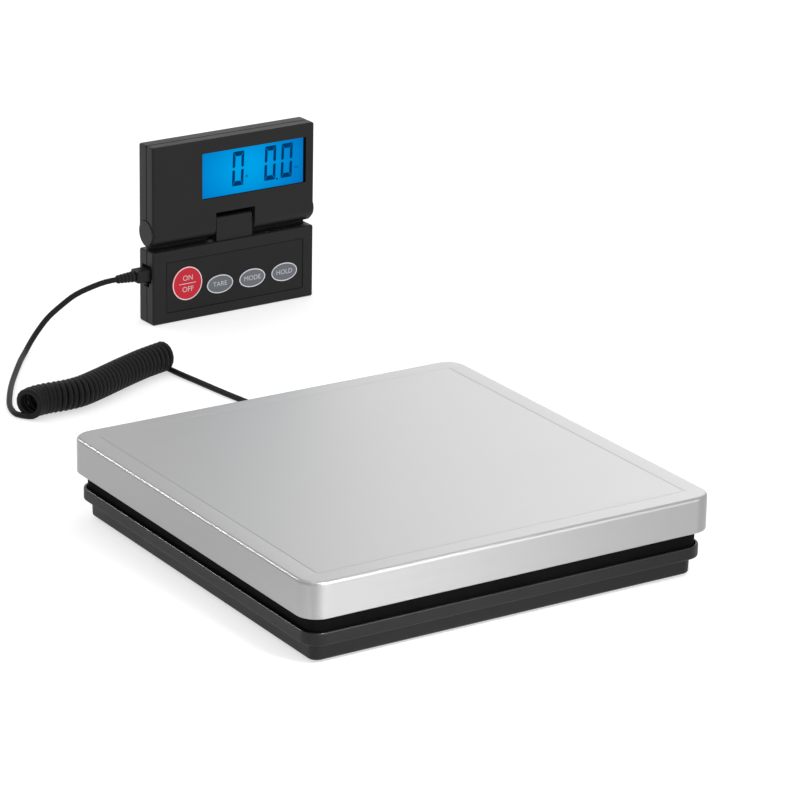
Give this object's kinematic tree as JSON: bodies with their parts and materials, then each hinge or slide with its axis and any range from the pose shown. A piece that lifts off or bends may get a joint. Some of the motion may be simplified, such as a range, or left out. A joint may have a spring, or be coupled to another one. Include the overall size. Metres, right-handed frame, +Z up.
{
  "type": "platform shipping scale",
  "caption": "Parcel scale: low square weighing platform with a steel cover, and a remote folding indicator with display and keys on a curly cord.",
  "frame": {"origin": "centre of the platform at floor level, 1.5 mm below the base's underside, which stands on four rubber feet", "axes": "+Z up; +X along the platform's front edge, to the right; +Y to the back, towards the remote indicator"},
  "size_m": [0.3145, 0.5283, 0.1152],
  "materials": {
    "black_abs": "fine matt texture",
    "stainless_sheet": "satin",
    "zinc_steel": "zinc plated",
    "cell_aluminium": "machined",
    "black_rubber": "matt",
    "cord_jacket": "slightly glossy",
    "circuit_board": "solder mask",
    "key_red": "printed",
    "key_grey": "printed",
    "overlay_film": "satin film",
    "display_glass": "clear over a blue backlight",
    "light_guide": "clear",
    "battery_sleeve": "shrink sleeve"
  },
  "bodies": {
    "base": {"base_tray": "black_abs", "keypad_front_shell": "black_abs", "keypad_rear_shell": "black_abs", "jack_housing": "black_abs", "plug": "black_abs", "overload_stop_front_left": "zinc_steel", "overload_stop_rear_left": "zinc_steel", "overload_stop_front_right": "zinc_steel", "overload_stop_rear_right": "zinc_steel", "load_cell_spacer_lower": "zinc_steel", "cell_screw_base_1": "zinc_steel", "cell_screw_base_2": "zinc_steel", "keypad_screw_left": "zinc_steel", "keypad_screw_right": "zinc_steel", "hinge_pin_left": "zinc_steel", "hinge_pin_right": "zinc_steel", "battery_contact_left": "zinc_steel", "battery_contact_right": "zinc_steel", "load_cell_beam": "cell_aluminium", "foot_front_left": "black_rubber", "foot_rear_left": "black_rubber", "foot_front_right": "black_rubber", "foot_rear_right": "black_rubber", "cord_gland": "black_rubber", "plug_boot": "black_rubber", "key_dome_mat": "black_rubber", "load_cell_wires": "black_rubber", "hinge_loom": "black_rubber", "cord_lead_indicator": "cord_jacket", "cord_coil": "cord_jacket", "cord_lead_base": "cord_jacket", "terminal_board": "circuit_board", "main_board": "circuit_board", "keypad_overlay": "overlay_film", "battery_cell_1": "battery_sleeve", "battery_cell_2": "battery_sleeve"},
    "platform": {"platform_frame": "black_abs", "load_cell_spacer_upper": "zinc_steel", "cell_screw_platform_1": "zinc_steel", "cell_screw_platform_2": "zinc_steel"},
    "platter": {"platter_cover": "stainless_sheet"},
    "display": {"display_front_shell": "black_abs", "display_rear_shell": "black_abs", "display_screw_left": "zinc_steel", "display_screw_right": "zinc_steel", "hinge_cap_left": "black_abs", "hinge_cap_right": "black_abs", "display_window": "display_glass", "lcd_panel": "display_glass", "lcd_light_guide": "light_guide", "lcd_connector_strip": "black_rubber", "display_board": "circuit_board"},
    "power_key": {"power_key": "key_red"},
    "tare_key": {"tare_key": "key_grey"},
    "mode_key": {"mode_key": "key_grey"},
    "hold_key": {"hold_key": "key_grey"},
    "battery_door": {"battery_door": "black_abs"}
  },
  "joints": [
    {"name": "platform_deflection", "type": "slide", "parent": "base", "child": "platform", "axis": [0, 0, -1], "range_m": [0, 0.00025], "stiffness_N_per_m": 2000000},
    {"name": "platter_lift", "type": "slide", "parent": "platform", "child": "platter", "axis": [0, 0, 1], "range_m": [0, 0.04]},
    {"name": "display_fold", "type": "hinge", "parent": "base", "child": "display", "pos_m": [0.1293, 0.3922, 0.0587], "axis": [0.9995, 0.0319, 0], "range_deg": [0, 90]},
    {"name": "power_key_press", "type": "slide", "parent": "base", "child": "power_key", "axis": [-0.0319, 0.9995, 0], "range_m": [0, 0.0005], "stiffness_N_per_m": 3000},
    {"name": "tare_key_press", "type": "slide", "parent": "base", "child": "tare_key", "axis": [-0.0319, 0.9995, 0], "range_m": [0, 0.0005], "stiffness_N_per_m": 3000},
    {"name": "mode_key_press", "type": "slide", "parent": "base", "child": "mode_key", "axis": [-0.0319, 0.9995, 0], "range_m": [0, 0.0005], "stiffness_N_per_m": 3000},
    {"name": "hold_key_press", "type": "slide", "parent": "base", "child": "hold_key", "axis": [-0.0319, 0.9995, 0], "range_m": [0, 0.0005], "stiffness_N_per_m": 3000},
    {"name": "battery_door_slide", "type": "slide", "parent": "base", "child": "battery_door", "axis": [0.9995, 0.0319, 0], "range_m": [0, 0.05]}
  ]
}
